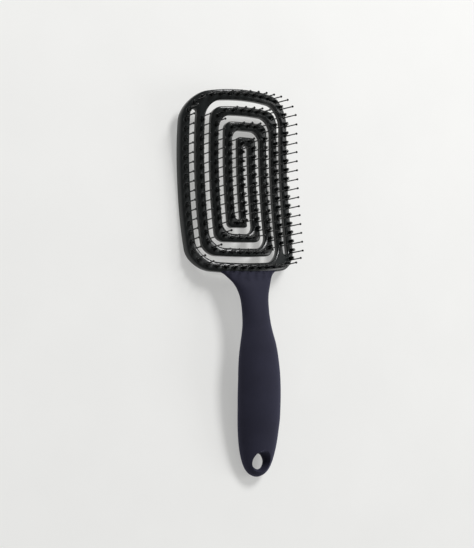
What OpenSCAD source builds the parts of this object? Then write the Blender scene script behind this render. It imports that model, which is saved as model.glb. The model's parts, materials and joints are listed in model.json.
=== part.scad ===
// Flexible vented detangling brush, lying on its back with its bristles up.
// X runs along the brush from the head's top to the handle's end, Y across it, Z up.

/* [Brush] */
// Overall length, head's top edge to handle's end
brush_l = 240; // [215:1:280]
// Length of the head
head_l = 115; // [105:1:130]
// Width of the head
head_w = 80; // [74:1:92]

/* [Head plate] */
// Radius of the head's crosswise crown, on its bristle side
crown_r = 110; // [95:1:180]
// Radius of the head's lengthwise hollow, on its bristle side
sweep_r = 275; // [220:5:600]
// How far past the head's middle the brush rests on its long edges
rest_shift = 14; // [8:0.5:20]
// Thickness of the head plate
plate_t = 4; // [3.6:0.1:5]
// Width of the fixed rim along the head's sides
rim_w = 6.3; // [5.2:0.1:7.4]
// Width of the fixed rim across the head's top and bottom
end_rim_w = 6.5; // [5.2:0.1:8.5]
// Radius of the two corners at the head's top
top_corner_r = 16; // [12:0.5:22]
// Radius of the two corners beside the neck
neck_corner_r = 13; // [11:0.5:18]
// How far the head's sides draw in at its ends
side_bow = 1.6; // [0:0.1:4]
// How far the head's ends draw in at its sides
end_bow = 4; // [0:0.1:6]

/* [Flexible turns] */
// Width of the slots between the turns
slot_w = 3.8; // [2.8:0.1:3.9]
// Width of the straight spine at the middle of the head
spine_w = 4.2; // [3.6:0.1:6]
// How far a slot's outer end stays short of the next slot's centre line
slot_setback = 4; // [3.5:0.1:9]
// Gap between two pieces of one rib where it flexes
flex_gap = 0.2; // [0.1:0.05:0.4]

/* [Bristles] */
// Spacing of the tufts along a rib
tuft_pitch = 5.8; // [5.6:0.1:8]
// Height of a ball-tipped pin above the plate
pin_l = 13; // [10:0.5:18]
// Width of a pin's stem
pin_d = 0.8; // [0.6:0.05:1]
// Width of a pin's ball tip
ball_d = 1.5; // [1.2:0.05:1.8]
// Height of a bristle tuft above the plate
tuft_l = 3.5; // [3:0.5:9.5]
// Width of a bristle tuft at its root
tuft_d = 1.1; // [0.8:0.05:1.4]
// Thickness of the top layer that holds the roots
layer_t = 0.8; // [0.6:0.1:1.2]

/* [Tuft anchors] */
// Length of the flat wire that holds a tuft down
anchor_l = 1.8; // [1.4:0.1:2.2]
// Thickness of the anchor wire
anchor_w = 0.5; // [0.3:0.05:0.6]
// Height of the anchor wire
anchor_h = 1.2; // [0.8:0.1:1.5]

/* [Handle] */
// Width of the handle at its widest
grip_w = 29.4; // [25:0.2:33]
// Thickness of the handle at its thickest
grip_t = 17.4; // [15.6:0.2:21]
// How high the handle arches over the neck
grip_arch = 3.6; // [2:0.1:6]
// How far the handle's end drops below the neck
grip_drop = 8.7; // [6:0.1:8.8]
// Thickness of the soft grip over the core
grip_wall = 2.2; // [1.6:0.1:2.8]
// Least thickness of the core
core_t = 2.2; // [1.6:0.1:2.4]
// Clearance between the core and the grip moulded over it
bond_gap = 0.05; // [0.03:0.01:0.1]

/* [Hanging hole] */
// Diameter of the hanging hole
hole_d = 9.6; // [7:0.1:10.4]
// Distance from the hole's centre to the handle's end
hole_inset = 9.4; // [8.6:0.1:11]
// Length of the hole's straight wall
hole_wall = 5.4; // [4:0.1:5.6]
// How steeply the hole widens beyond its wall, as rise in radius over height
hole_flare_share = 0.5; // [0.3:0.05:0.8]

/* [Hidden] */

plastic = "#1d2224";
soft_black = "#2c2d38";
nylon = "#0d0f11";
wire = "#b9a36a";

overrun = 1;
corner_steps = 5;
straight_step = 15;
crown_facets = 120;
sweep_facets = 96;
grip_sides = 24;
core_sides = 12;

// The plate is a shell that bulges across the head and is hollow along it: part of a ring whose
// axis lies across the brush, high over the place where the long edges rest at height 0
ring_r = sweep_r + crown_r;
axis_z = ring_r - sqrt(pow(crown_r - plate_t, 2) - pow(head_w / 2, 2));
head_x = (head_l - brush_l) / 2;
axis_x = head_x + rest_shift;
neck_x = head_l - brush_l / 2;
handle_l = brush_l - head_l;
function surface_z(x, y) =
    axis_z - sqrt(pow(ring_r - sqrt(crown_r * crown_r - y * y), 2) - pow(x - axis_x, 2));
head_top = surface_z(-brush_l / 2, 0);

// Slots: centre lines of the nested turns, as half widths and half lengths from the head's centre
slot_y0 = (head_w - slot_w) / 2 - rim_w;
slot_y3 = (spine_w + slot_w) / 2;
slot_x0 = (head_l - slot_w) / 2 - end_rim_w;
pitch = (slot_y0 - slot_y3) / 3;
function slot_y(k) = slot_y0 - k * pitch;
function slot_x(k) = slot_x0 - k * pitch;
first_shares = [[0, 1.12], [1, 0.8], [2, 0.53]];
second_shares = [[0, 0.86], [1, 0.66], [2, 0.37]];
function first_r(k) = pitch * lookup(k, first_shares);
function second_r(k) = pitch * lookup(k, second_shares);

// Where the ribs are cut into pieces that flex against each other
slot_start = slot_x0 - slot_setback;
outer_cut = slot_start - slot_w / 2;
middle_cut = slot_x(1) - second_r(1) - flex_gap;
inner_cut = slot_x(2) - second_r(2) - flex_gap;

// The head is laid out square and then drawn in towards its ends
function drawn_in(p) = [
    head_x + p.x * (1 - end_bow / (head_l / 2) * pow(p.y / (head_w / 2), 2)),
    p.y * (1 - side_bow / (head_w / 2) * pow(abs(p.x) / (head_l / 2), 3))
];

function unit(v) = v / norm(v);
function turned(points) = [for (p = points) -p];
function reversed(list) = [for (i = [len(list) - 1 : -1 : 0]) list[i]];

// Corner b of a path, rounded; its two sides are square to each other
function corner(a, b, c, r) =
    let (u = unit(a - b), v = unit(c - b), m = b + r * (u + v))
    [for (i = [0 : corner_steps]) let (t = 90 * i / corner_steps) m - r * (v * cos(t) + u * sin(t))];
function rounded(path, r) = let (last = len(path) - 1) concat(
    [path[0]],
    [for (i = [1 : last - 1]) each corner(path[i - 1], path[i], path[i + 1], r[i - 1])],
    [path[last]]
);
function dense(points) = let (last = len(points) - 1) concat(
    [for (i = [0 : last - 1])
        let (a = points[i], b = points[i + 1], n = max(1, ceil(norm(b - a) / straight_step)))
        each [for (j = [0 : n - 1]) a + (b - a) * j / n]],
    [points[last]]
);
function side_of(points, d) = let (last = len(points) - 1) [
    for (i = [0 : last])
        let (t = unit(points[min(i + 1, last)] - points[max(i - 1, 0)]))
        points[i] + d * [-t.y, t.x]
];
function band(points, w) = concat(side_of(points, w / 2), reversed(side_of(points, -w / 2)));

// Rounded rectangle about the head's centre, from its half length and half width
function loop(x, y, r_top, r_neck) = let (
    corners = [[-x, -y], [x, -y], [x, y], [-x, y]],
    radii = [r_top, r_neck, r_neck, r_top],
    points = [for (i = [0 : 3])
        each corner(corners[(i + 3) % 4], corners[i], corners[(i + 1) % 4], radii[i])]
) dense(concat(points, [points[0]]));

// Half a turn of the spiral: a slot's centre line at a whole k, a rib's midway between two slots
function run(k, start, end) = dense(rounded([
    [-start, -slot_y(k)], [slot_x(k), -slot_y(k)], [slot_x(k), slot_y(k + 1)], [end, slot_y(k + 1)]
], [first_r(k), second_r(k)]));

// One slot of the pair, from its outer end in to the spine; the other is the same, half a turn on
slot_path = concat(
    run(0, slot_start, 0),
    turned(run(1, 0, 0)),
    run(2, 0, -slot_x(3))
);

// One rib of the pair, in the same way, in three lengths
outer_path = run(1 / 2, outer_cut, middle_cut);
middle_path = run(3 / 2, middle_cut - flex_gap, inner_cut);
centre_path = dense(rounded([
    [-inner_cut, -slot_y(5 / 2)], [slot_x(5 / 2), -slot_y(5 / 2)], [slot_x(5 / 2), 0], [0, 0]
], [second_r(2), second_r(2)]));
rim_path = loop(
    (head_l - end_rim_w) / 2, (head_w - rim_w) / 2, top_corner_r - rim_w / 2, neck_corner_r - rim_w / 2
);

module flat(points) {
    polygon([for (p = points) drawn_in(p)]);
}

module head_outline(grow = 0) {
    flat(loop(head_l / 2 + grow, head_w / 2 + grow, top_corner_r + grow, neck_corner_r + grow));
}

module slots() {
    for (path = [slot_path, turned(slot_path)]) {
        flat(band(path, slot_w));
        for (end = [path[0], path[len(path) - 1]]) translate(drawn_in(end)) circle(d = slot_w, $fn = 32);
    }
}

// The rim, with the two places where a rib springs from it
module rim_shape() {
    root = concat(
        [[-slot_x0, -slot_y0], [-outer_cut - flex_gap, -slot_y0], [-outer_cut - flex_gap, -slot_y(1)]],
        corner([0, -slot_y(1)], [-slot_x0, -slot_y(1)], [-slot_x0, 0], second_r(0))
    );
    difference() {
        union() {
            difference() {
                head_outline();
                flat(loop(slot_x0, slot_y0, first_r(0), first_r(0)));
            }
            for (points = [root, turned(root)]) flat(dense(points));
        }
        slots();
    }
}

// What lies between slot turns k and k + 1
function lane(k, start, end) = concat(run(k, start, end), reversed(run(k + 1, start, end)));
outer_lane = lane(0, outer_cut, middle_cut);
middle_lane = lane(1, middle_cut - flex_gap, inner_cut);

module rib_shape(lane) {
    difference() {
        flat(lane);
        slots();
    }
}

module centre_shape() {
    beside = lane(1, middle_cut - flex_gap, inner_cut - flex_gap);
    difference() {
        flat(loop(slot_x(2), slot_y(2), first_r(2), first_r(2)));
        slots();
        for (points = [beside, turned(beside)]) flat(points);
    }
}

// Part of the curved plate over a flat shape, between two depths below its bristle side
module plate(top, bottom) {
    intersection() {
        linear_extrude(height = head_top + overrun, convexity = 10) children();
        translate([axis_x, 0, axis_z]) rotate([90, 0, 0]) rotate(90)
            rotate_extrude(convexity = 4, $fn = sweep_facets) intersection() {
                translate([ring_r, 0]) difference() {
                    circle(r = crown_r - top, $fn = crown_facets);
                    circle(r = crown_r - bottom, $fn = crown_facets);
                }
                translate([sweep_r - overrun, -head_w]) square([crown_r, 2 * head_w]);
            }
    }
}

// Tufts stand evenly along each rib's middle, each place as [x, y, direction]
function lengths(points, i = 0, sum = 0) =
    i == len(points) - 1 ? [sum]
    : concat([sum], lengths(points, i + 1, sum + norm(points[i + 1] - points[i])));
function places(points) = let (
    path = [for (p = points) drawn_in(p)],
    sums = lengths(path),
    total = sums[len(sums) - 1],
    n = round(total / tuft_pitch)
) [for (k = [0 : n - 1]) let (
    s = total * (k + 1 / 2) / n,
    i = [for (j = [0 : len(sums) - 2]) if (sums[j] <= s && s < sums[j + 1]) j][0],
    d = unit(path[i + 1] - path[i]),
    p = path[i] + d * (s - sums[i])
) [p.x, p.y, atan2(d.y, d.x)]];

rim_places = places(rim_path);
outer_left_places = places(outer_path);
outer_right_places = places(turned(outer_path));
middle_left_places = places(middle_path);
middle_right_places = places(turned(middle_path));
centre_places = concat(places(centre_path), places(turned(centre_path)));
tufts = len(rim_places) + 2 * len(outer_left_places) + 2 * len(middle_left_places) + len(centre_places);
echo(tufts = tufts, strands = 2 * tufts);

// A strand of three-sided rings, each given as [height, half width]
module strand(rings) {
    last = 3 * (len(rings) - 1);
    polyhedron(
        [for (q = rings, a = [0 : 120 : 240]) [q[1] * cos(a), q[1] * sin(a), q[0]]],
        concat(
            [[0, 1, 2]],
            [for (i = [0 : 3 : last - 3], a = [0 : 2]) let (b = (a + 1) % 3)
                each [[i + a, i + 3 + a, i + b], [i + b, i + 3 + a, i + 3 + b]]],
            [[last, last + 2, last + 1]]
        )
    );
}

// Strands stand square to the head, leaning out by a share of the plate's own slope
lean_share = 0.25;
head_lean = asin(rest_shift / sweep_r);
root_share = 0.6;
tip_share = 0.5;
strand_offset = (pin_d + tuft_d) / 2;
module bristles(list) {
    root = -root_share * layer_t;
    for (p = list) {
        across = -lean_share * asin(p.y / crown_r);
        along = head_lean - lean_share * (head_lean + asin((p.x - axis_x) / sweep_r));
        translate([p.x, p.y, surface_z(p.x, p.y)]) rotate([across, along, 0]) rotate(p.z) {
            translate([-strand_offset, 0, 0]) strand([
                [root, pin_d / 2], [pin_l - ball_d, pin_d / 2], [pin_l - ball_d / 2, ball_d / 2],
                [pin_l, tip_share * pin_d / 2]
            ]);
            translate([strand_offset, 0, 0])
                strand([[root, tuft_d / 2], [tuft_l, tip_share * tuft_d / 2]]);
        }
    }
}

// Anchors stand on edge under the top layer; grow opens the pocket above each of them
anchor_drop = anchor_l / 2 * (head_w / 2 / crown_r + (head_l / 2 + rest_shift) / sweep_r);
module anchors(list, grow = 0) {
    for (p = list)
        translate([p.x, p.y, surface_z(p.x, p.y) - layer_t - anchor_drop - anchor_h / 2 + grow])
        rotate(p.z) cube([anchor_l, anchor_w, anchor_h + 2 * grow], center = true);
}

// Handle sections from the head out: [place, width, thickness, arch, drop, crown], each as a share
// of the handle's length, width, thickness, arch and drop, and of the head's crown
grip_shares = [
    [-0.024, 1.66, 0.24, -0.12, 0, 1], [-0.012, 1.40, 0.26, -0.05, 0, 1],
    [0, 1.22, 0.29, 0.03, 0, 0.95], [0.02, 1.06, 0.34, 0.20, 0, 0.85],
    [0.045, 0.91, 0.43, 0.58, 0, 0.6], [0.08, 0.77, 0.53, 0.83, 0, 0.3],
    [0.12, 0.67, 0.60, 0.90, 0, 0.1], [0.16, 0.63, 0.66, 0.93, 0, 0], [0.20, 0.62, 0.71, 0.96, 0, 0],
    [0.25, 0.64, 0.77, 1, 0, 0], [0.30, 0.71, 0.84, 1, 0, 0], [0.35, 0.81, 0.91, 0.99, 0, 0],
    [0.41, 0.90, 0.96, 0.85, 0, 0], [0.50, 0.97, 0.99, 0.64, 0, 0], [0.61, 1, 1, 0.33, 0.08, 0],
    [0.71, 0.99, 0.99, 0.10, 0.23, 0], [0.80, 0.93, 0.94, 0, 0.475, 0], [0.86, 0.86, 0.84, 0, 0.65, 0],
    [0.90, 0.78, 0.75, 0, 0.76, 0], [0.935, 0.68, 0.66, 0, 0.845, 0], [0.96, 0.57, 0.57, 0, 0.90, 0],
    [0.98, 0.42, 0.46, 0, 0.935, 0], [0.993, 0.24, 0.31, 0, 0.97, 0], [1, 0.08, 0.12, 0, 1, 0]
];
core_range = [3 : 16];
squareness_share = 0.4;
function grip_x(q) = neck_x + q[0] * handle_l;
neck_z = surface_z(neck_x, 0) - plate_t / 2;
function grip_z(q) = neck_z + q[3] * grip_arch - q[4] * grip_drop;

// Ring about the handle's line at x and z: an ellipse that squares off as it takes on the crown
function bulge(c, crown) = sign(c) * pow(abs(c), 1 - squareness_share * crown);
function ring(x, z, half_w, half_t, crown, sides) = [for (i = [0 : sides - 1]) let (
    t = 360 * i / sides,
    y = half_w * bulge(cos(t), crown)
) [x, y, z + half_t * bulge(sin(t), crown) - crown * y * y / crown_r / 2]];
module skin(rings) {
    sides = len(rings[0]);
    last = sides * (len(rings) - 1);
    polyhedron(
        [for (r = rings) each r],
        concat(
            [[for (i = [0 : sides - 1]) i]],
            [for (k = [0 : sides : last - sides], i = [0 : sides - 1]) let (j = (i + 1) % sides)
                each [[k + i, k + sides + i, k + j], [k + j, k + sides + i, k + sides + j]]],
            [[for (i = [sides - 1 : -1 : 0]) last + i]]
        )
    );
}

// Core inside the handle: it springs from the rim under the top layer; grow opens the grip for it
module core(grow = 0) {
    first = grip_shares[core_range[0]];
    root_w = first[1] * grip_w / 2 - grip_wall;
    root_x = neck_x - end_rim_w / 2;
    skin(concat(
        [ring(root_x, surface_z(root_x, 0) - (plate_t + layer_t) / 2, root_w + grow,
            core_t / 2 + grow, 1, core_sides)],
        [for (i = core_range) let (q = grip_shares[i], end = i == core_range[2]) ring(
            grip_x(q) + (end ? grow : 0), grip_z(q), q[1] * grip_w / 2 - grip_wall + grow,
            max(core_t, q[2] * grip_t - 2 * grip_wall) / 2 + grow, q[5], core_sides
        )]
    ));
}

// Hole through the handle's end, with a straight wall that widens towards both faces
module hanging_hole() {
    x = brush_l / 2 - hole_inset;
    share = (x - neck_x) / handle_l;
    at = [for (k = [0 : 4]) lookup(share, [for (q = grip_shares) [q[0], q[k]]])];
    r = hole_d / 2;
    translate([x, 0, grip_z(at)]) {
        cylinder(r = r, h = hole_wall, center = true);
        for (side = [0, 1]) mirror([0, 0, side]) translate([0, 0, hole_wall / 2])
            cylinder(r1 = r, r2 = r + hole_flare_share * grip_t, h = grip_t);
    }
}

module head_frame() {
    color(plastic) difference() {
        union() {
            plate(layer_t, plate_t) rim_shape();
            core();
        }
        anchors(rim_places, anchor_h);
    }
}

module handle_grip() {
    color(soft_black) difference() {
        skin([for (q = grip_shares)
            ring(grip_x(q), grip_z(q), q[1] * grip_w / 2, q[2] * grip_t / 2, q[5], grip_sides)]);
        linear_extrude(height = head_top + grip_t) head_outline(bond_gap);
        core(bond_gap);
        hanging_hole();
    }
}

module rim_bristles() {
    color(nylon) union() {
        plate(0, layer_t) rim_shape();
        bristles(rim_places);
    }
}

module rib(lane, list) {
    color(plastic) difference() {
        plate(layer_t, plate_t) rib_shape(lane);
        anchors(list, anchor_h);
    }
}

module rib_bristles(lane, list) {
    color(nylon) union() {
        plate(0, layer_t) rib_shape(lane);
        bristles(list);
    }
}

module tuft_anchors(list) {
    color(wire) anchors(list);
}

module centre_rib() {
    color(plastic) difference() {
        plate(layer_t, plate_t) centre_shape();
        anchors(centre_places, anchor_h);
    }
}

module centre_bristles() {
    color(nylon) union() {
        plate(0, layer_t) centre_shape();
        bristles(centre_places);
    }
}

head_frame();
handle_grip();
rim_bristles();
tuft_anchors(rim_places);  // rim_anchors
rib(outer_lane, outer_left_places);  // outer_left_rib
rib_bristles(outer_lane, outer_left_places);  // outer_left_bristles
tuft_anchors(outer_left_places);  // outer_left_anchors
rib(turned(outer_lane), outer_right_places);  // outer_right_rib
rib_bristles(turned(outer_lane), outer_right_places);  // outer_right_bristles
tuft_anchors(outer_right_places);  // outer_right_anchors
rib(middle_lane, middle_left_places);  // middle_left_rib
rib_bristles(middle_lane, middle_left_places);  // middle_left_bristles
tuft_anchors(middle_left_places);  // middle_left_anchors
rib(turned(middle_lane), middle_right_places);  // middle_right_rib
rib_bristles(turned(middle_lane), middle_right_places);  // middle_right_bristles
tuft_anchors(middle_right_places);  // middle_right_anchors
centre_rib();
centre_bristles();
tuft_anchors(centre_places);  // centre_anchors
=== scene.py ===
# Vented detangling hair brush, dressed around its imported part: a black head of nested spiral
# ribs, ball-tipped pins beside bristle tufts, and a soft-touch handle with a hanging hole.
# Sizes are in millimetres until a mesh is made. X runs to the handle's end, Z up.

import json
import math
import random

import bpy
import numpy as np
from mathutils import Matrix, Vector
from mathutils.geometry import delaunay_2d_cdt


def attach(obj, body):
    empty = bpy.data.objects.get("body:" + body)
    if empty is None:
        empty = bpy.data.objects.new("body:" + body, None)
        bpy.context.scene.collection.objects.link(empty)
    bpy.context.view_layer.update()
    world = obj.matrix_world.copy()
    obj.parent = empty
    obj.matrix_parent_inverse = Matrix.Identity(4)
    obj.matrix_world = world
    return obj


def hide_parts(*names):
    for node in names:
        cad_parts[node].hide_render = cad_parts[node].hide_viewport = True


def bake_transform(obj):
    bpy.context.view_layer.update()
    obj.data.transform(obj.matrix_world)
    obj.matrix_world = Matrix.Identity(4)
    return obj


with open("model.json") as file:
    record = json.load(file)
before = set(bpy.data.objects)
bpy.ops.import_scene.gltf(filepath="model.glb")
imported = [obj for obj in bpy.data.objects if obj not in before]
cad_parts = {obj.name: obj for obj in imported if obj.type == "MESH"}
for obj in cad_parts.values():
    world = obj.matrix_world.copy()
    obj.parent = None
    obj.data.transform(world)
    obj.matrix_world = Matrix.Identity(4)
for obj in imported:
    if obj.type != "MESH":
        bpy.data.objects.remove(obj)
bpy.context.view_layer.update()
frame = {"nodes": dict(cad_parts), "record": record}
mm = 0.001


# sRGB hex colour as linear values, by the sRGB curve
def linear(hexColour):
    channels = [int(hexColour[i:i + 2], 16) / 255 for i in (1, 3, 5)]
    return (*[c / 12.92 if c <= 0.04045 else ((c + 0.055) / 1.055) ** 2.4 for c in channels], 1)


# Adds a node; a setting's key is an input's name or number, or else a property of the node's own
def addNode(tree, kind, settings=None, links=None):
    made = tree.nodes.new(kind)
    for key, value in (settings or {}).items():
        if isinstance(key, int) or key in made.inputs:
            made.inputs[key].default_value = value
        else:
            setattr(made, key, value)
    for key, source in (links or {}).items():
        tree.links.new(source, made.inputs[key])
    return made


def startMaterial(name):
    material = bpy.data.materials.new(name)
    material.use_nodes = True
    tree = material.node_tree
    tree.nodes.clear()
    return material, tree


# Noise scale that puts one grain every so many millimetres, for coordinates in metres
def grainScale(size):
    return 1 / (size * mm)


# Colour that runs from dark to light as a source runs from low to high
def rampBetween(tree, source, darkHex, lightHex, low=0.35, high=0.65):
    ramp = addNode(tree, "ShaderNodeValToRGB", links={"Fac": source})
    ramp.color_ramp.elements[0].position = low
    ramp.color_ramp.elements[1].position = high
    ramp.color_ramp.elements[0].color = linear(darkHex)
    ramp.color_ramp.elements[1].color = linear(lightHex)
    return ramp.outputs["Color"]


# Value that runs from low to high as a source runs from 0 to 1
def spread(tree, source, low, high):
    return addNode(tree, "ShaderNodeMapRange", {"To Min": low, "To Max": high},
                   {"Value": source}).outputs["Result"]


# Polypropylene, injection-moulded in a spark-eroded tool: satin, with polished edges
def mouldedPolypropylene():
    material, tree = startMaterial("mouldedPolypropylene")
    place = addNode(tree, "ShaderNodeTexCoord").outputs["Object"]
    grain = addNode(tree, "ShaderNodeTexNoise",
                    {"Scale": grainScale(0.45), "Detail": 3.0, "Roughness": 0.6},
                    {"Vector": place}).outputs["Fac"]  # real grain 0.1 mm, drawn at 0.45 mm
    flow = addNode(tree, "ShaderNodeTexNoise", {"Scale": grainScale(9), "Detail": 2.0},
                   {"Vector": place}).outputs["Fac"]
    edge = addNode(tree, "ShaderNodeAttribute", {"attribute_name": "roundedEdge"}).outputs["Fac"]
    colour = rampBetween(tree, flow, "#0e1212", "#151a1a")
    polished = spread(tree, edge, 0.36, 0.22)
    ripple = spread(tree, grain, -0.05, 0.05)
    roughness = addNode(tree, "ShaderNodeMath", {"operation": "ADD"},
                        {0: polished, 1: ripple}).outputs["Value"]
    bump = addNode(tree, "ShaderNodeBump", {"Strength": 0.16, "Distance": 0.05 * mm},
                   {"Height": grain}).outputs["Normal"]
    shader = addNode(tree, "ShaderNodeBsdfPrincipled", {"IOR": 1.49},
                     {"Base Color": colour, "Roughness": roughness, "Normal": bump})
    addNode(tree, "ShaderNodeOutputMaterial", links={"Surface": shader.outputs["BSDF"]})
    return material


# Soft-touch elastomer moulded over a hard core: matte, with a faint velvety sheen
def softTouchElastomer():
    material, tree = startMaterial("softTouchElastomer")
    place = addNode(tree, "ShaderNodeTexCoord").outputs["Object"]
    grain = addNode(tree, "ShaderNodeTexNoise",
                    {"Scale": grainScale(0.5), "Detail": 4.0, "Roughness": 0.65},
                    {"Vector": place}).outputs["Fac"]  # real grain 0.08 mm, drawn at 0.5 mm
    handling = addNode(tree, "ShaderNodeTexNoise", {"Scale": grainScale(16), "Detail": 3.0},
                       {"Vector": place}).outputs["Fac"]
    colour = rampBetween(tree, handling, "#2b2b38", "#2f2f3d")
    roughness = spread(tree, handling, 0.68, 0.78)
    bump = addNode(tree, "ShaderNodeBump", {"Strength": 0.14, "Distance": 0.05 * mm},
                   {"Height": grain}).outputs["Normal"]
    shader = addNode(tree, "ShaderNodeBsdfPrincipled",
                     {"IOR": 1.45, "Specular IOR Level": 0.1, "Sheen Weight": 0.42,
                      "Sheen Roughness": 0.45, "Sheen Tint": linear("#8a8cab")},
                     {"Base Color": colour, "Roughness": roughness, "Normal": bump})
    addNode(tree, "ShaderNodeOutputMaterial", links={"Surface": shader.outputs["BSDF"]})
    return material


# Nylon, moulded in one shot with its ball tip: glossy black that catches thin glints
def glossNylon():
    material, tree = startMaterial("glossNylon")
    place = addNode(tree, "ShaderNodeTexCoord").outputs["Object"]
    flow = addNode(tree, "ShaderNodeTexNoise", {"Scale": grainScale(1.6), "Detail": 2.0},
                   {"Vector": place}).outputs["Fac"]
    colour = rampBetween(tree, flow, "#090b0b", "#0f1213")
    roughness = spread(tree, flow, 0.14, 0.24)
    bump = addNode(tree, "ShaderNodeBump", {"Strength": 0.06, "Distance": 0.03 * mm},
                   {"Height": flow}).outputs["Normal"]
    shader = addNode(tree, "ShaderNodeBsdfPrincipled", {"IOR": 1.53},
                     {"Base Color": colour, "Roughness": roughness, "Normal": bump})
    addNode(tree, "ShaderNodeOutputMaterial", links={"Surface": shader.outputs["BSDF"]})
    return material


# Dyed bristle fibre, drawn and cut: near black with a soft streaky shine along the fibres
def dyedBristle():
    material, tree = startMaterial("dyedBristle")
    place = addNode(tree, "ShaderNodeTexCoord").outputs["Object"]
    strand = addNode(tree, "ShaderNodeTexNoise", {"Scale": grainScale(0.7), "Detail": 2.0},
                     {"Vector": place}).outputs["Fac"]
    colour = rampBetween(tree, strand, "#090c0c", "#141a19")
    roughness = spread(tree, strand, 0.24, 0.38)
    bump = addNode(tree, "ShaderNodeBump", {"Strength": 0.1, "Distance": 0.02 * mm},
                   {"Height": strand}).outputs["Normal"]
    shader = addNode(tree, "ShaderNodeBsdfPrincipled", {"IOR": 1.53},
                     {"Base Color": colour, "Roughness": roughness, "Normal": bump})
    addNode(tree, "ShaderNodeOutputMaterial", links={"Surface": shader.outputs["BSDF"]})
    return material


# Brass wire, drawn through a die: fine lines along it
def drawnBrass():
    material, tree = startMaterial("drawnBrass")
    place = addNode(tree, "ShaderNodeTexCoord").outputs["Object"]
    lines = addNode(tree, "ShaderNodeTexNoise", {"Scale": grainScale(0.2), "Detail": 2.0},
                    {"Vector": place}).outputs["Fac"]
    colour = rampBetween(tree, lines, "#a98d4f", "#c6ad72")
    roughness = spread(tree, lines, 0.28, 0.42)
    bump = addNode(tree, "ShaderNodeBump", {"Strength": 0.1, "Distance": 0.02 * mm},
                   {"Height": lines}).outputs["Normal"]
    shader = addNode(tree, "ShaderNodeBsdfPrincipled", {"Metallic": 1.0},
                     {"Base Color": colour, "Roughness": roughness, "Normal": bump})
    addNode(tree, "ShaderNodeOutputMaterial", links={"Surface": shader.outputs["BSDF"]})
    return material


ribPlastic = mouldedPolypropylene()
gripSkin = softTouchElastomer()
pinNylon = glossNylon()
tuftFibre = dyedBristle()
stapleWire = drawnBrass()
print("materials made")


# Makes a mesh object from millimetre points; each face may name its material by number
def makePiece(name, points, faces, materials, faceMaterials=None):
    mesh = bpy.data.meshes.new(name)
    mesh.from_pydata([tuple(c * mm for c in p) for p in points], [], faces)
    mesh.polygons.foreach_set("use_smooth", [True] * len(mesh.polygons))
    for material in materials:
        mesh.materials.append(material)
    if faceMaterials is not None:
        mesh.polygons.foreach_set("material_index", faceMaterials)
    mesh.update()
    piece = bpy.data.objects.new(name, mesh)
    bpy.context.scene.collection.objects.link(piece)
    return piece


head = {
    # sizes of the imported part
    "length": 115, "width": 80, "brush": 240, "thickness": 4,
    "crown": 110, "sweep": 275,  # radii of the bulge across and of the hollow along
    "restShift": 14,  # from the head's middle to the lowest place of the hollow, as the brush lies
    "rim": 6.3, "endRim": 6.5, "topCorner": 16, "neckCorner": 13,
    "sideBow": 1.6, "endBow": 4,  # how far the outline's sides and ends curve in at the corners
    "slot": 3.8, "spine": 4.2, "setback": 4, "cut": 0.2,
    "firstCorners": [1.12, 0.8, 0.53], "secondCorners": [0.86, 0.66, 0.37],  # shares, turn by turn
    "pitch": 5.8,  # from one tuft to the next
    "leanShare": 0.25,  # share of the plate's slope that pins and tufts lean with
    # sizes of the scene's own sheet
    "opening": 4.1,  # the slots' width as seen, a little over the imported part's
    "outerEdge": (2.2, 1.6),  # width and depth of the rounding along the head's outline
    "slotEdge": (2.4, 1.2),  # width and depth of the rounding along the slots
    "edgeLoop": 1.15,  # how far in from a wall the rounding's own rows of points reach
    "backEdge": 0.4,  # radius of the rounding round the back of both
    "meshStep": 0.9, "rowShare": 0.9,  # points of the sheet: along a row, and rows as a share of it
    "gridInset": 0.5, "clearShare": 0.4,  # first row from the end; least room to a wall, in steps
    "polishGain": 8,  # how soon a deepening edge counts as fully polished
}
headX = (head["length"] - head["brush"]) / 2  # the head's middle
neckX = head["length"] - head["brush"] / 2  # where the handle starts
axisX = headX + head["restShift"]  # the axis that the head is swept about, high over it
ringR = head["sweep"] + head["crown"]
axisZ = ringR - math.sqrt((head["crown"] - head["thickness"]) ** 2 - (head["width"] / 2) ** 2)
slotY0 = (head["width"] - head["slot"]) / 2 - head["rim"]
slotX0 = (head["length"] - head["slot"]) / 2 - head["endRim"]
turnStep = (slotY0 - (head["spine"] + head["slot"]) / 2) / 3  # from one turn of the spiral to the next


# Height of the plate's top, or of a surface inside it at a depth
def surfaceZ(x, y, depth=0.0):
    across = np.sqrt((head["crown"] - depth) ** 2 - np.square(y))
    return axisZ - np.sqrt(np.square(ringR - across) - np.square(x - axisX))


def slotY(turn):
    return slotY0 - turn * turnStep


def slotX(turn):
    return slotX0 - turn * turnStep


def firstRadius(turn):
    return turnStep * float(np.interp(turn, [0, 1, 2], head["firstCorners"]))


def secondRadius(turn):
    return turnStep * float(np.interp(turn, [0, 1, 2], head["secondCorners"]))


slotStart = slotX0 - head["setback"]
outerCut = slotStart - head["slot"] / 2
middleCut = slotX(1) - secondRadius(1) - head["cut"]
innerCut = slotX(2) - secondRadius(2) - head["cut"]


# From the square layout about the head's middle to the brush's own X and Y
def drawnIn(layout):
    x, y = np.asarray(layout, float).T
    halfL, halfW = head["length"] / 2, head["width"] / 2
    return np.column_stack([
        headX + x * (1 - head["endBow"] / halfL * (y / halfW) ** 2),
        y * (1 - head["sideBow"] / halfW * (np.abs(x) / halfL) ** 3),
    ])


def unit(v):
    return v / np.linalg.norm(v)


# Arc at a right-angled corner b, on the way from a to c
def roundedCorner(a, b, c, radius, steps=12):
    a, b, c = (np.array(p, float) for p in (a, b, c))
    u, v = unit(a - b), unit(c - b)
    middle = b + radius * (u + v)
    turns = [math.pi / 2 * i / steps for i in range(steps + 1)]
    return [middle - radius * (v * math.cos(t) + u * math.sin(t)) for t in turns]


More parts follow.
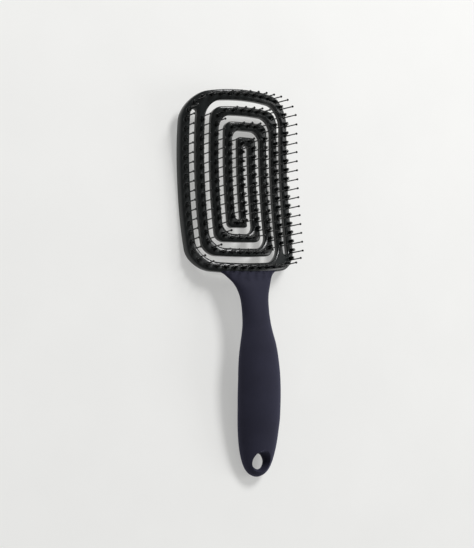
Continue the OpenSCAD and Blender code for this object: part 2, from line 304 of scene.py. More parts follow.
# Cuts a path's lengths into steps no longer than a given one
def finely(points, step):
    result = []
    for a, b in zip(points[:-1], points[1:]):
        count = max(1, math.ceil(np.linalg.norm(b - a) / step))
        result += [a + (b - a) * i / count for i in range(count)]
    return np.array(result + [points[-1]])


# Half a turn of the spiral: a slot's line at a whole turn, a rib's midway between two slots
def halfTurn(turn, start, end):
    corners = [(-start, -slotY(turn)), (slotX(turn), -slotY(turn)),
               (slotX(turn), slotY(turn + 1)), (end, slotY(turn + 1))]
    points = [np.array(corners[0], float)]
    points += roundedCorner(*corners[:3], firstRadius(turn))
    points += roundedCorner(*corners[1:], secondRadius(turn))
    return finely(points + [np.array(corners[3], float)], head["meshStep"])


def loopPath(halfL, halfW, topRadius, neckRadius):
    corners = [(-halfL, -halfW), (halfL, -halfW), (halfL, halfW), (-halfL, halfW)]
    radii = [topRadius, neckRadius, neckRadius, topRadius]
    points = []
    for i, radius in enumerate(radii):
        points += roundedCorner(corners[i - 1], corners[i], corners[(i + 1) % len(corners)], radius)
    return finely(points + [points[0]], head["meshStep"])


def sideNormals(path, closed=False):
    before = np.roll(path, 1, 0)
    after = np.roll(path, -1, 0)
    if not closed:
        before[0], after[-1] = path[0], path[-1]
    along = after - before
    along /= np.linalg.norm(along, axis=1)[:, None]
    return np.column_stack([-along[:, 1], along[:, 0]])


# Closed loop at a distance from a slot's centre line, round at both ends
def capsule(path, distance, endSteps=10):
    normals = sideNormals(path)
    left = path + distance * normals
    right = path - distance * normals
    turns = [math.pi * i / endSteps for i in range(1, endSteps)]
    ends = []
    for middle, normal in ((path[-1], normals[-1]), (path[0], -normals[0])):
        forward = np.array([normal[1], -normal[0]])
        ends.append([middle + distance * (normal * math.cos(t) + forward * math.sin(t))
                     for t in turns])
    return np.vstack([left, ends[0], right[::-1], ends[1]])


slotPath = np.vstack([halfTurn(0, slotStart, 0), -halfTurn(1, 0, 0)[1:],
                      halfTurn(2, 0, -slotX(3))[1:]])
outlinePath = loopPath(head["length"] / 2, head["width"] / 2,
                       head["topCorner"], head["neckCorner"])[:-1]
outlineNormals = sideNormals(outlinePath, closed=True)  # these point inwards


# Depth of a rounded edge's top at a distance in from its wall
def edgeDepth(inset, edge):
    width, depth = edge
    share = np.clip(1 - np.asarray(inset) / width, 0, 1)
    return depth * (1 - np.sqrt(1 - share ** 2))


# Roundings above and below a wall, as rows: how far in from the wall, and how deep
def edgeProfile(edge, steps=6):
    width, depth = edge
    start = math.asin(1 - head["edgeLoop"] / width)
    turns = [start + (math.pi / 2 - start) * i / steps for i in range(steps + 1)]
    back, thickness = head["backEdge"], head["thickness"]
    top = [(width * (1 - math.sin(t)), depth * (1 - math.cos(t))) for t in turns]
    turns = [math.pi / 2 * i / steps for i in range(steps + 1)]
    bottom = [(back * (1 - math.cos(t)), thickness - back * (1 - math.sin(t))) for t in turns]
    return top + bottom


# Each edge of the plate: its rounding, and rows of points from its top loop to its back
def edgeRows():
    profile = edgeProfile(head["outerEdge"])
    rows = [(head["outerEdge"], profile, [outlinePath + outlineNormals * inset for inset, _ in profile])]
    profile = edgeProfile(head["slotEdge"])
    for turned in (1, -1):
        rows.append((head["slotEdge"], profile, [capsule(turned * slotPath, head["opening"] / 2 + inset)
                                                 for inset, _ in profile]))
    return rows


# Whether each point lies inside a closed loop
def inside(points, loop):
    x, y = points[:, 0][:, None], points[:, 1][:, None]
    x1, y1 = loop[:, 0][None], loop[:, 1][None]
    x2, y2 = np.roll(x1, -1, 1), np.roll(y1, -1, 1)
    crosses = (y1 > y) != (y2 > y)
    almostLevel = 1e-12
    rise = np.where(y2 == y1, almostLevel, y2 - y1)
    return (np.sum(crosses & (x < (x2 - x1) * (y - y1) / rise + x1), axis=1) % 2).astype(bool)


# Distance of each point from a closed loop's nearest side
def nearest(points, loop):
    best = np.full(len(points), np.inf)
    sides = np.roll(loop, -1, 0) - loop
    for a, side in zip(loop, sides):
        t = np.clip((points - a) @ side / (side @ side), 0, 1)
        best = np.minimum(best, np.linalg.norm(points - a - t[:, None] * side, axis=1))
    return best


# The strip between two half turns of the spiral, which holds one rib
def lane(turn, start, end):
    return np.vstack([halfTurn(turn, start, end), halfTurn(turn + 1, start, end)[::-1]])


outerLane = lane(0, outerCut, middleCut)
middleLane = lane(1, middleCut - head["cut"], innerCut)
zones = ["rim", "outerLeft", "outerRight", "middleLeft", "middleRight", "centreLow", "centreHigh"]


# The number of the zone that each point of the layout lies in; the rest is the rim
def zoneOf(points):
    points = np.asarray(points, float)
    zone = np.zeros(len(points), int)
    middle = (np.abs(points[:, 0]) < slotX(2)) & (np.abs(points[:, 1]) < slotY(2))
    low = (points[:, 1] < -slotY(3)) | ((points[:, 1] < slotY(3)) & (points[:, 0] > 0))
    zone[middle & low] = zones.index("centreLow")
    zone[middle & ~low] = zones.index("centreHigh")
    for name, loop in (("middleLeft", middleLane), ("middleRight", -middleLane),
                       ("outerLeft", outerLane), ("outerRight", -outerLane)):
        zone[inside(points, loop)] = zones.index(name)
    return zone


# Whether each point lies within the first loop and outside the two others, which are the slots
def onPlate(points, loops):
    outline, firstSlot, secondSlot = loops
    return inside(points, outline) & ~inside(points, firstSlot) & ~inside(points, secondSlot)


# Rows of points over the plate between its edges' loops
def plateGrid(loops):
    step = head["meshStep"]
    reachX, reachY = head["length"] / 2 - head["gridInset"], head["width"] / 2
    gridX, gridY = np.meshgrid(np.arange(-reachX, reachX, step),
                               np.arange(-reachY, reachY, step * head["rowShare"]))
    grid = np.column_stack([gridX.ravel(), gridY.ravel()])
    return grid[onPlate(grid, loops)]


# Triangles between a sheet's points, whose first points are its loops; and their centres
def joinSheet(flat, loops):
    edges, base = [], 0
    for loop in loops:
        edges += [(base + i, base + (i + 1) % len(loop)) for i in range(len(loop))]
        base += len(loop)
    insideEdges, samePoint = 1, 1e-7  # the kind of result, and how close points count as one
    made, _, triangles, origins, _, _ = delaunay_2d_cdt(
        [Vector(p) for p in flat], edges, [], insideEdges, samePoint)
    assert len(made) == len(flat) and all(o[0] == i for i, o in enumerate(origins))
    triangles = np.array(triangles)
    centres = flat[triangles].mean(axis=1)
    keep = onPlate(centres, loops)
    return triangles[keep], centres[keep]


# The whole plate as one sheet of points and faces, each face marked with its zone
def buildPlate():
    rows = edgeRows()
    loops = [path[0] for _, _, path in rows]
    grid = plateGrid(loops)
    apart = [nearest(grid, loop) for loop in loops]
    keep = np.min(apart, axis=0) > head["clearShare"] * head["meshStep"]
    flat = np.vstack(loops + [grid[keep]])
    triangles, centres = joinSheet(flat, loops)

    # the ribs' tops are crowned: the rounding of the nearest wall runs on over them
    crowned = [np.full(len(loop), profile[0][1]) for (_, profile, _), loop in zip(rows, loops)]
    crowned.append(np.max([edgeDepth(far[keep] + head["edgeLoop"], edge)
                           for far, (edge, _, _) in zip(apart, rows)], axis=0))
    crowned = np.concatenate(crowned)
    polish = np.clip(crowned / head["slotEdge"][1] * head["polishGain"], 0, 1)
    layout, depths = [flat, flat], [crowned, np.full(len(flat), head["thickness"])]
    rounded = [polish, np.zeros(len(flat))]
    count = 2 * len(flat)
    faces = [tuple(t) for t in triangles] + [tuple(t[::-1] + len(flat)) for t in triangles]
    faceZones = [zoneOf(centres), zoneOf(centres)]
    base = 0
    for _, profile, path in rows:
        size = len(path[0])
        ids = [np.arange(size) + base]
        for k in range(1, len(profile) - 1):
            layout.append(path[k])
            depths.append(np.full(size, profile[k][1]))
            rounded.append(np.ones(size))
            ids.append(np.arange(size) + count)
            count += size
        ids.append(np.arange(size) + base + len(flat))
        stripZones = zoneOf((path[0] + np.roll(path[0], -1, 0)) / 2)
        for upper, lower in zip(ids[:-1], ids[1:]):
            faces += list(zip(upper, lower, np.roll(lower, -1), np.roll(upper, -1)))
            faceZones.append(stripZones)
        base += size
    return (np.vstack(layout), np.concatenate(depths), np.concatenate(rounded), faces,
            np.concatenate(faceZones))


# Where the tufts stand on a path: x, y and direction, evenly along its middle
def stationsOn(path):
    path = drawnIn(path)
    steps = np.linalg.norm(np.diff(path, axis=0), axis=1)
    sums = np.concatenate([[0], np.cumsum(steps)])
    count = round(sums[-1] / head["pitch"])
    result = []
    for k in range(count):
        s = sums[-1] * (k + 0.5) / count
        i = min(int(np.searchsorted(sums, s, side="right")) - 1, len(steps) - 1)
        along = (path[i + 1] - path[i]) / steps[i]
        x, y = path[i] + along * (s - sums[i])
        result.append((x, y, math.atan2(along[1], along[0])))
    return result


rimPath = loopPath((head["length"] - head["endRim"]) / 2, (head["width"] - head["rim"]) / 2,
                   head["topCorner"] - head["rim"] / 2, head["neckCorner"] - head["rim"] / 2)
outerPath = halfTurn(1 / 2, outerCut, middleCut)
middlePath = halfTurn(3 / 2, middleCut - head["cut"], innerCut)
innerCorner = [(-innerCut, -slotY(5 / 2)), (slotX(5 / 2), -slotY(5 / 2)), (slotX(5 / 2), 0), (0, 0)]
centrePath = finely(
    [np.array(innerCorner[0], float)]
    + roundedCorner(*innerCorner[:3], secondRadius(2))
    + roundedCorner(*innerCorner[1:], secondRadius(2))
    + [np.array(innerCorner[3], float)], head["meshStep"])
stations = {
    "rim": stationsOn(rimPath),
    "outerLeft": stationsOn(outerPath), "outerRight": stationsOn(-outerPath),
    "middleLeft": stationsOn(middlePath), "middleRight": stationsOn(-middlePath),
    "centreLow": stationsOn(centrePath), "centreHigh": stationsOn(-centrePath),
}
headLean = math.asin(head["restShift"] / head["sweep"])


# Stands a station upright on the head, leaning out with a share of the plate's slope
def stationFrame(x, y, direction):
    across = -head["leanShare"] * math.asin(y / head["crown"])
    along = headLean - head["leanShare"] * (headLean + math.asin((x - axisX) / head["sweep"]))
    return (Matrix.Translation((x, y, float(surfaceZ(x, y))))
            @ Matrix.Rotation(along, 4, "Y") @ Matrix.Rotation(across, 4, "X")
            @ Matrix.Rotation(direction, 4, "Z"))


# Turns a profile of (radius, height) about a place's Z; a radius of 0 closes it
def addLathe(points, faces, place, profile, sides):
    previous = None
    for radius, height in profile:
        first = len(points)
        if radius == 0:
            points.append(tuple(place @ Vector((0, 0, height))))
            ring = [first] * sides
        else:
            for i in range(sides):
                t = 2 * math.pi * i / sides
                corner = Vector((radius * math.cos(t), radius * math.sin(t), height))
                points.append(tuple(place @ corner))
            ring = list(range(first, first + sides))
        if previous:
            for i in range(sides):
                j = (i + 1) % sides
                corners = [previous[i], previous[j], ring[j], ring[i]]
                faces.append(tuple(dict.fromkeys(corners)))
        previous = ring


pin = {
    "offset": -0.95, "height": 12.97, "sides": 10,
    "stem": 0.40, "ball": 0.75,  # radii
    "rooted": 0.6, "footTop": 0.15, "footEnd": 0.9, "taperEnd": 5,  # heights along the stem
}
tuft = {
    "offset": 0.95, "height": 3.6, "fibres": 40, "fibreSides": 3,
    "fibre": 0.12, "root": 0.85, "spread": 1.1,  # radii of a fibre and of the tuft, low and high
    "rooted": 0.5, "steps": (0, 0.5, 1), "fan": 1.5, "taper": 0.35, "dome": 0.05,
    "turn": 2.399963,  # golden angle from one fibre to the next, in radians
    "stray": 0.3, "bend": 0.25, "reach": (0.85, 1.1), "trim": (0.93, 1),  # limits of chance
    "seed": 7,
}


def pinProfile():
    top, ball, stem = pin["height"], pin["ball"], pin["stem"]
    middle = top - ball
    return [(stem * 1.25, -pin["rooted"]), (stem * 1.25, pin["footTop"]),
            (stem * 1.05, pin["footEnd"]), (stem, pin["taperEnd"]),
            (stem * 0.95, middle - ball * 1.05), (stem * 1.2, middle - ball * 0.86),
            (ball * 0.8, middle - ball * 0.58), (ball, middle), (ball * 0.87, middle + ball * 0.5),
            (ball * 0.5, middle + ball * 0.87), (0, top)]


# A tuft: fibres that start close together in their hole and fan out to a trimmed, ragged top
def addTuft(points, faces, place, chance):
    sides = tuft["fibreSides"]
    for k in range(tuft["fibres"]):
        share = math.sqrt((k + 0.5) / tuft["fibres"])
        angle = tuft["turn"] * k + chance.uniform(-tuft["stray"], tuft["stray"])
        root = tuft["root"] * share
        top = tuft["spread"] * share * chance.uniform(*tuft["reach"])
        height = tuft["height"] * (1 - tuft["dome"] * share * share) * chance.uniform(*tuft["trim"])
        bend = chance.uniform(-tuft["bend"], tuft["bend"])
        rings = []
        for step in tuft["steps"]:
            out = root + (top - root) * step ** tuft["fan"]
            swing = angle + bend * step * step
            x = tuft["offset"] + out * math.cos(swing)
            y = out * math.sin(swing)
            z = -tuft["rooted"] + (height + tuft["rooted"]) * step
            radius = tuft["fibre"] * (1 - tuft["taper"] * step)
            first = len(points)
            for i in range(sides):
                t = 2 * math.pi * i / sides + angle
                corner = Vector((x + radius * math.cos(t), y + radius * math.sin(t), z))
                points.append(tuple(place @ corner))
            rings.append(tuple(range(first, first + sides)))
        for a, b in zip(rings[:-1], rings[1:]):
            for i in range(sides):
                j = (i + 1) % sides
                faces.append((a[i], a[j], b[j], b[i]))
        faces.append(rings[-1])


# All the pins and tufts of a zone
def bristlePiece(zone):
    chance = random.Random(tuft["seed"] + zones.index(zone))
    points, faces = [], []
    for x, y, direction in stations[zone]:
        place = stationFrame(x, y, direction)
        addLathe(points, faces, place @ Matrix.Translation((pin["offset"], 0, 0)), pinProfile(),
                 pin["sides"])
    pinFaces = len(faces)
    for x, y, direction in stations[zone]:
        addTuft(points, faces, stationFrame(x, y, direction), chance)
    marks = [0] * pinFaces + [1] * (len(faces) - pinFaces)
    return makePiece(zone + "Bristles", points, faces, [pinNylon, tuftFibre], marks)


# Profiles of (radius, height) for the lip round a tuft's hole and the boss at a pin's foot
socket = {
    "lip": [(1.5, -0.55), (1.38, 0), (1.22, 0.1), (1.1, 0.08), (1, -0.1)], "lipSides": 16,
    "boss": [(0.95, -0.25), (0.85, 0.1), (0.6, 0.32), (0.45, 0.36)], "bossSides": 12,
    "polish": 0.5,  # share of a rounded edge's polish
}


def addSockets(points, faces, zone):
    for x, y, direction in stations[zone]:
        place = stationFrame(x, y, direction)
        addLathe(points, faces, place @ Matrix.Translation((tuft["offset"], 0, 0)), socket["lip"],
                 socket["lipSides"])
        addLathe(points, faces, place @ Matrix.Translation((pin["offset"], 0, 0)), socket["boss"],
                 socket["bossSides"])


# The wire under each tuft: a short flat length with chamfered edges, below the strands' layer
staple = {"length": 1.8, "thickness": 0.5, "height": 1.2, "chamfer": 0.12, "below": 0.8}


def staplePiece(zone):
    points, faces = [], []
    slopes = head["width"] / 2 / head["crown"] + (head["length"] / 2 + head["restShift"]) / head["sweep"]
    drop = staple["length"] / 2 * slopes + staple["below"] + staple["height"] / 2
    cut = staple["chamfer"]
    halfT, halfH = staple["thickness"] / 2, staple["height"] / 2
    section = [(-halfT + cut, -halfH), (halfT - cut, -halfH), (halfT, -halfH + cut),
               (halfT, halfH - cut), (halfT - cut, halfH), (-halfT + cut, halfH),
               (-halfT, halfH - cut), (-halfT, -halfH + cut)]
    for x, y, direction in stations[zone]:
        place = (Matrix.Translation((x, y, float(surfaceZ(x, y)) - drop))
                 @ Matrix.Rotation(direction, 4, "Z"))
        first = len(points)
        for end in (-1, 1):
            points += [tuple(place @ Vector((end * staple["length"] / 2, a, b))) for a, b in section]
        second = first + len(section)
        for i in range(len(section)):
            j = (i + 1) % len(section)
            faces.append((first + i, first + j, second + j, second + i))
        faces += [tuple(range(second - 1, first - 1, -1)),
                  tuple(range(second, second + len(section)))]
    return makePiece(zone + "Staples", points, faces, [stapleWire])


plateLayout, plateDepths, plateRounded, plateFaces, plateZones = buildPlate()
plateXY = drawnIn(plateLayout)
plateZ = surfaceZ(plateXY[:, 0], plateXY[:, 1], plateDepths)
plate3d = np.column_stack([plateXY, plateZ])


# A zone's share of the plate, with the sockets on it
def ribPiece(zone):
    number = zones.index(zone)
    chosen = [f for f, z in zip(plateFaces, plateZones) if z == number]
    used = sorted({v for f in chosen for v in f})
    index = {v: i for i, v in enumerate(used)}
    points = [tuple(plate3d[v]) for v in used]
    faces = [tuple(index[v] for v in f) for f in chosen]
    rounded = [float(plateRounded[v]) for v in used]
    addSockets(points, faces, zone)
    rounded += [socket["polish"]] * (len(points) - len(rounded))
    piece = makePiece(zone + "Rib", points, faces, [ribPlastic])
    mark = piece.data.attributes.new("roundedEdge", "FLOAT", "POINT")
    mark.data.foreach_set("value", rounded)
    return piece


bendEnd = {"outer": 24, "middle": 17, "centre": 10}  # where the bends end, from the layout's middle

# Each zone's near and far bodies, the stretch along X in the layout that its bend would span, and the
# imported nodes it stands for; only a zone with no far body is attached, to its near one
flexZones = {
    "rim": ("frame", None, None, None, "head_frame", "rim_bristles", "rim_anchors"),
    "outerLeft": ("frame", "outer_turns", -outerCut, -bendEnd["outer"], "outer_left_rib",
                  "outer_left_bristles", "outer_left_anchors"),
    "outerRight": ("frame", "outer_turns", outerCut, bendEnd["outer"], "outer_right_rib",
                   "outer_right_bristles", "outer_right_anchors"),
    "middleLeft": ("outer_turns", "middle_turns", -middleCut, -bendEnd["middle"],
                   "middle_left_rib", "middle_left_bristles", "middle_left_anchors"),
    "middleRight": ("outer_turns", "middle_turns", middleCut, bendEnd["middle"],
                    "middle_right_rib", "middle_right_bristles", "middle_right_anchors"),
    "centreLow": ("middle_turns", "centre_turns", -innerCut, -bendEnd["centre"], "centre_rib",
                  "centre_bristles", "centre_anchors"),
    "centreHigh": ("middle_turns", "centre_turns", innerCut, bendEnd["centre"], "centre_rib",
                   "centre_bristles", "centre_anchors"),
}
for zone in zones:
    near, far, bendFrom, bendTo, *stoodFor = flexZones[zone]
    made = [ribPiece(zone), bristlePiece(zone), staplePiece(zone)]
    for piece, stood in zip(made, stoodFor):
        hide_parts(stood)
        if far:
            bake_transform(piece)
        else:
            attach(piece, near)
print("head, pins and tufts made")


handle = {
    "width": 29.4, "thickness": 17.4, "arch": 3.6, "drop": 8.7, "squareness": 0.4,
    "sides": 64, "step": 1.1, "tipSections": 9,
    "holeRadius": 4.8, "holeInset": 9.4, "rimRadius": 6.6, "holeWaist": 0.7,
    "holeReach": (7.2, 6.9), "holeSections": 15,  # the finer stretch, before and after the hole
    "patchReach": (7.5, 7), "patchRings": 4,  # the skin that is cut out and joined to the hole
    # how the neck's skin goes under the rim
    "tuckStart": 0.2, "tuckRun": 1.2, "tuckDepth": 0.35, "tuckHalfWidth": 36,
    # the hole's wall from its rim in: share of the flare left, and share of the way to the waist
    "flare": [(0.93, 0.015), (0.85, 0.06), (0.74, 0.16), (0.52, 0.38), (0.30, 0.60), (0.11, 0.82),
              (0, 1)],
    # from the head out, as shares: place along it, width, thickness, arch, drop, crown
    "sections": [
        (-0.024, 1.66, 0.24, -0.12, 0, 1), (-0.012, 1.40, 0.26, -0.05, 0, 1),
        (0, 1.22, 0.29, 0.03, 0, 0.95), (0.02, 1.06, 0.34, 0.20, 0, 0.85),
        (0.045, 0.91, 0.43, 0.58, 0, 0.6), (0.08, 0.77, 0.53, 0.83, 0, 0.3),
        (0.12, 0.67, 0.60, 0.90, 0, 0.1), (0.16, 0.63, 0.66, 0.93, 0, 0),
        (0.20, 0.62, 0.71, 0.96, 0, 0), (0.25, 0.64, 0.77, 1, 0, 0), (0.30, 0.71, 0.84, 1, 0, 0),
        (0.35, 0.81, 0.91, 0.99, 0, 0), (0.41, 0.90, 0.96, 0.85, 0, 0),
        (0.50, 0.97, 0.99, 0.64, 0, 0), (0.61, 1, 1, 0.33, 0.08, 0),
        (0.71, 0.99, 0.99, 0.10, 0.23, 0), (0.80, 0.93, 0.94, 0, 0.475, 0),
        (0.86, 0.86, 0.84, 0, 0.65, 0), (0.90, 0.78, 0.75, 0, 0.76, 0),
        (0.935, 0.68, 0.66, 0, 0.845, 0), (0.96, 0.57, 0.57, 0, 0.90, 0),
        (0.98, 0.42, 0.46, 0, 0.935, 0), (0.993, 0.24, 0.31, 0, 0.97, 0), (1, 0, 0, 0, 1, 0),
    ],
}
neckZ = float(surfaceZ(neckX, 0)) - head["thickness"] / 2
handleLength = head["brush"] - head["length"]


# Smooth curve through the sections' values that never swings past them
def monotone(places, values, at):
    gaps = np.diff(places)
    slopes = np.diff(values) / gaps
    tangents = np.zeros(len(places))
    tangents[0], tangents[-1] = slopes[0], slopes[-1]
    for i in range(1, len(places) - 1):
        if slopes[i - 1] * slopes[i] > 0:
            w1, w2 = 2 * gaps[i] + gaps[i - 1], gaps[i] + 2 * gaps[i - 1]
            tangents[i] = (w1 + w2) / (w1 / slopes[i - 1] + w2 / slopes[i])
    i = np.clip(np.searchsorted(places, at, side="right") - 1, 0, len(gaps) - 1)
    t = (at - places[i]) / gaps[i]
    return ((2 * t ** 3 - 3 * t ** 2 + 1) * values[i] + (t ** 3 - 2 * t ** 2 + t) * gaps[i] * tangents[i]
            + (3 * t ** 2 - 2 * t ** 3) * values[i + 1] + (t ** 3 - t ** 2) * gaps[i] * tangents[i + 1])


# Half the width, half the thickness, the middle's height and the crown at a place along the handle
def handleSection(x):
    table = np.array(handle["sections"])
    place = np.array((x - neckX) / handleLength)
    squares = [float(monotone(table[:, 0], table[:, k] ** 2, place)) for k in (1, 2)]
    width, thickness = (math.sqrt(max(0, square)) for square in squares)
    arch, drop, crown = (float(monotone(table[:, 0], table[:, k], place)) for k in (3, 4, 5))
    z = neckZ + arch * handle["arch"] - drop * handle["drop"]
    return width * handle["width"] / 2, thickness * handle["thickness"] / 2, z, crown


# Cosine or sine of a section, squared off a little where the handle has the head's crown
def bulge(c, crown):
    return math.copysign(abs(c) ** (1 - handle["squareness"] * crown), c)


def handlePoint(x, t):
    halfW, halfT, z, crown = handleSection(x)
    y = halfW * bulge(math.cos(t), crown)
    return (x, y, z + halfT * bulge(math.sin(t), crown) - crown * y * y / head["crown"] / 2)


# Keeps the neck's skin under the rim's own surface where the two overlap
def tuckUnderRim(point):
    x, y, z = point
    edge = float(drawnIn([(head["length"] / 2, y)])[0, 0])
    share = min(1, max(0, (edge + handle["tuckStart"] - x) / handle["tuckRun"]))
    if share == 0 or abs(y) > handle["tuckHalfWidth"]:
        return point
    top = float(surfaceZ(x, y)) - handle["tuckDepth"]
    bottom = float(surfaceZ(x, y, head["thickness"])) + handle["tuckDepth"]
    held = min(max(z, bottom), top)
    return (x, y, z + (held - z) * share)


# The handle's skin in rings from the neck to the tip, with the hanging hole cut through
def buildHandle():
    holeX = head["brush"] / 2 - handle["holeInset"]
    table = np.array(handle["sections"])
    start = neckX + table[0, 0] * handleLength
    before, after = handle["holeReach"]
    body = list(np.arange(start, holeX - before, handle["step"]))
    body += list(np.linspace(body[-1] + handle["step"], holeX + after, handle["holeSections"]))
    end = head["brush"] / 2
    turns = [math.pi / 2 * i / handle["tipSections"] for i in range(1, handle["tipSections"])]
    xs = body + [body[-1] + (end - body[-1]) * math.sin(t) for t in turns]
    sides = handle["sides"]
    points = [tuckUnderRim(handlePoint(x, 2 * math.pi * i / sides)) for x in xs for i in range(sides)]
    before, after = handle["patchReach"]
    first = min(k for k, x in enumerate(xs) if x > holeX - before)
    last = max(k for k, x in enumerate(xs) if x < holeX + after)
    low, high = sides // 8, sides * 3 // 8
    faces = []
    for k in range(len(xs) - 1):
        for i in range(sides):
            inPatch = first <= k < last and low <= i % (sides // 2) < high
            if not inPatch:
                j = (i + 1) % sides
                faces.append((k * sides + i, k * sides + j, (k + 1) * sides + j, (k + 1) * sides + i))
    faces.append(tuple(range(sides - 1, -1, -1)))
    points.append((end, 0, handleSection(end)[2]))
    tip = (len(xs) - 1) * sides
    faces += [(tip + i, tip + (i + 1) % sides, len(points) - 1) for i in range(sides)]
    walls = []
    for side, offset in ((1, 0), (-1, sides // 2)):
        patch = (first, last, low + offset, high + offset)
        walls.append(holeSide(points, faces, patch, side, holeX))
    joinHole(faces, walls)
    return points, faces


# Surface of the handle's end above or below a place, where it has no crown
def endSurface(x, y, side):
    halfW, halfT, z, _ = handleSection(x)
    return z + side * halfT * math.sqrt(max(0, 1 - (y / halfW) ** 2))


# One half of the hole's wall, from the edge of the patch that is cut out of the skin to its waist
def holeSide(points, faces, patch, side, holeX):
    first, last, low, high = patch
    sides = handle["sides"]
    loop = [first * sides + i for i in range(low, high)]
    loop += [k * sides + high for k in range(first, last)]
    loop += [last * sides + i for i in range(high, low, -1)]
    loop += [k * sides + low for k in range(last, first, -1)]
    angles = [math.atan2(points[v][1], points[v][0] - holeX) for v in loop]
    reach = [math.hypot(points[v][1], points[v][0] - holeX) for v in loop]
    rings = [loop]
    for r in range(1, handle["patchRings"] + 1):
        ring = []
        for angle, far in zip(angles, reach):
            radius = far + (handle["rimRadius"] - far) * r / handle["patchRings"]
            x, y = holeX + radius * math.cos(angle), radius * math.sin(angle)
            ring.append(len(points))
            points.append((x, y, endSurface(x, y, side)))
        rings.append(ring)
    rimRing = rings[-1]
    waistZ = handleSection(holeX)[2] + side * handle["holeWaist"]
    for flare, depth in handle["flare"]:
        radius = handle["holeRadius"] + flare * (handle["rimRadius"] - handle["holeRadius"])
        ring = []
        for v, angle in zip(rimRing, angles):
            rimZ = points[v][2]
            ring.append(len(points))
            points.append((holeX + radius * math.cos(angle), radius * math.sin(angle),
                           rimZ + depth * (waistZ - rimZ)))
        rings.append(ring)
    for outer, inner in zip(rings[:-1], rings[1:]):
        for i in range(len(loop)):
            j = (i + 1) % len(loop)
            faces.append((outer[i], outer[j], inner[j], inner[i]))
    return rings[-1], angles


# Joins the hole's two wall rings, which run opposite ways, by their points' angles
def joinHole(faces, walls):
    (top, topAngles), (bottom, bottomAngles) = walls
    order = [min(range(len(bottom)), key=lambda k: abs(math.remainder(bottomAngles[k] - a, 2 * math.pi)))
             for a in topAngles]
    for i in range(len(top)):
        j = (i + 1) % len(top)
        faces.append((top[i], top[j], bottom[order[j]], bottom[order[i]]))


handlePoints, handleFaces = buildHandle()
grip = makePiece("softGrip", handlePoints, handleFaces, [gripSkin])
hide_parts("handle_grip")
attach(grip, "frame")
print("handle made")

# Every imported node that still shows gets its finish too
finishes = {"head": ribPlastic, "grip": gripSkin, "bristles": pinNylon, "anchors": stapleWire}
slotOf = {part["node"]: part["material_slot"] for part in frame["record"]["subparts"]}
for name, cadNode in frame["nodes"].items():
    for slot in cadNode.material_slots:
        slot.material = finishes[slotOf[name]]

# Pale floor, surroundings that pale towards the horizon, and soft lamps
studio = {
    "floorHexes": ("#f3f3f1", "#f5f5f3"), "floorSize": 4000,
    "floorGlow": 0.4,  # share of the floor's brightness that shadows leave alone
    "worldHex": "#f2f2f2", "horizonLight": 1.0, "overheadLight": 0.25,
    "hazeHeight": 0.5,  # how far up, as a direction's Z, the overhead light is reached
    "aimHeight": 10,
    # name, place, size and watts
    "lamps": [
        ("keyLamp", (-1120, 540, 1300), 600, 24.0),
        ("sideLamp", (160, 1360, 800), 700, 4.5),
    ],
}


# Matt white board: its glow shows to the camera and in reflections, but lights nothing
def paintedBoard():
    material, tree = startMaterial("paintedBoard")
    place = addNode(tree, "ShaderNodeTexCoord").outputs["Object"]
    mottle = addNode(tree, "ShaderNodeTexNoise", {"Scale": grainScale(60), "Detail": 3.0},
                     {"Vector": place}).outputs["Fac"]
    colour = rampBetween(tree, mottle, *studio["floorHexes"])
    board = addNode(tree, "ShaderNodeBsdfPrincipled", {"Roughness": 0.8}, {"Base Color": colour})
    glow = addNode(tree, "ShaderNodeEmission", links={"Color": colour})
    rays = addNode(tree, "ShaderNodeLightPath")
    seen = addNode(tree, "ShaderNodeMath", {"operation": "MAXIMUM"},
                   {0: rays.outputs["Is Camera Ray"], 1: rays.outputs["Is Glossy Ray"]})
    seen = addNode(tree, "ShaderNodeMath", {"operation": "MAXIMUM"},
                   {0: seen.outputs["Value"], 1: rays.outputs["Is Transmission Ray"]})
    share = addNode(tree, "ShaderNodeMath", {"operation": "MULTIPLY", 1: studio["floorGlow"]},
                    {0: seen.outputs["Value"]})
    both = addNode(tree, "ShaderNodeMixShader", {}, {
        0: share.outputs["Value"], 1: board.outputs["BSDF"], 2: glow.outputs["Emission"]})
    addNode(tree, "ShaderNodeOutputMaterial", links={"Surface": both.outputs["Shader"]})
    return material


half = studio["floorSize"] / 2
floorMesh = bpy.data.meshes.new("studioFloor")
floorMesh.from_pydata([(x * mm, y * mm, 0) for x, y in
                       ((-half, -half), (half, -half), (half, half), (-half, half))],
                      [], [(0, 1, 2, 3)])
floorMesh.materials.append(paintedBoard())
floor = bpy.data.objects.new("studioFloor", floorMesh)
bpy.context.scene.collection.objects.link(floor)

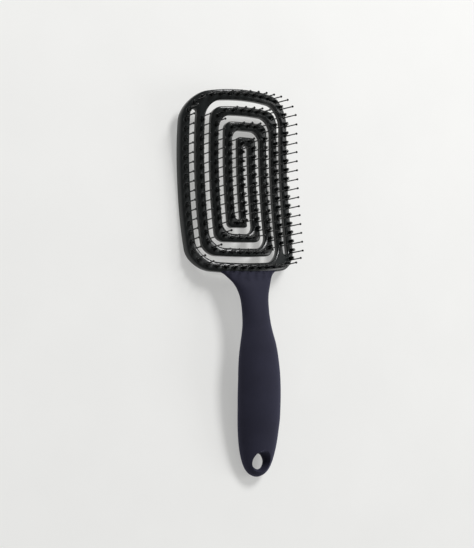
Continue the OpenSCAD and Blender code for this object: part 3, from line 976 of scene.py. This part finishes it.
world = bpy.data.worlds.new("studioWorld")
world.use_nodes = True
bpy.context.scene.world = world
tree = world.node_tree
tree.nodes.clear()
skyward = addNode(tree, "ShaderNodeSeparateXYZ", links={
    0: addNode(tree, "ShaderNodeTexCoord").outputs["Generated"]})
strength = addNode(tree, "ShaderNodeMapRange", {
    "From Max": studio["hazeHeight"], "To Min": studio["horizonLight"],
    "To Max": studio["overheadLight"]}, {"Value": skyward.outputs["Z"]})
surroundings = addNode(tree, "ShaderNodeBackground", {"Color": linear(studio["worldHex"])},
                       {"Strength": strength.outputs["Result"]})
addNode(tree, "ShaderNodeOutputWorld", links={"Surface": surroundings.outputs["Background"]})

for name, position, size, power in studio["lamps"]:
    lamp = bpy.data.lights.new(name, "AREA")
    lamp.shape = "DISK"
    lamp.size = size * mm
    lamp.energy = power
    lampObject = bpy.data.objects.new(name, lamp)
    lampObject.location = Vector(position) * mm
    aim = Vector((0, 0, studio["aimHeight"] * mm)) - lampObject.location
    lampObject.rotation_euler = aim.to_track_quat("-Z", "Y").to_euler()
    bpy.context.scene.collection.objects.link(lampObject)

# The photograph's viewpoint: over the brush's left side, its head at the top; angles in degrees
view = {"yaw": 31.48, "pitch": 5.97, "roll": -4.13, "distance": 701.6, "focus": (-5.0, -7.3, 10.0),
        "focalPixels": 1133.7, "pictureHeight": 548, "sensorHeight": 36, "nearest": 10}
yaw, pitch, roll = (math.radians(view[k]) for k in ("yaw", "pitch", "roll"))
towards = Vector((math.sin(pitch), -math.sin(yaw) * math.cos(pitch), math.cos(yaw) * math.cos(pitch)))
upward = Vector((-1, 0, 0))
upward = (upward - towards * upward.dot(towards)).normalized()
rightward = upward.cross(towards)
rolledRight = rightward * math.cos(roll) + upward * math.sin(roll)
rolledUp = upward * math.cos(roll) - rightward * math.sin(roll)
lens = bpy.data.cameras.new("photoCamera")
lens.sensor_fit = "VERTICAL"
lens.sensor_height = view["sensorHeight"]
lens.lens = lens.sensor_height * view["focalPixels"] / view["pictureHeight"]
lens.clip_start = view["nearest"] * mm
camera = bpy.data.objects.new("photoCamera", lens)
turn = Matrix((rolledRight, rolledUp, towards)).transposed()
camera.matrix_world = (Matrix.Translation((Vector(view["focus"]) + towards * view["distance"]) * mm)
                       @ turn.to_4x4())
bpy.context.scene.collection.objects.link(camera)
bpy.context.scene.camera = camera
bpy.context.scene.view_settings.view_transform = "Standard"
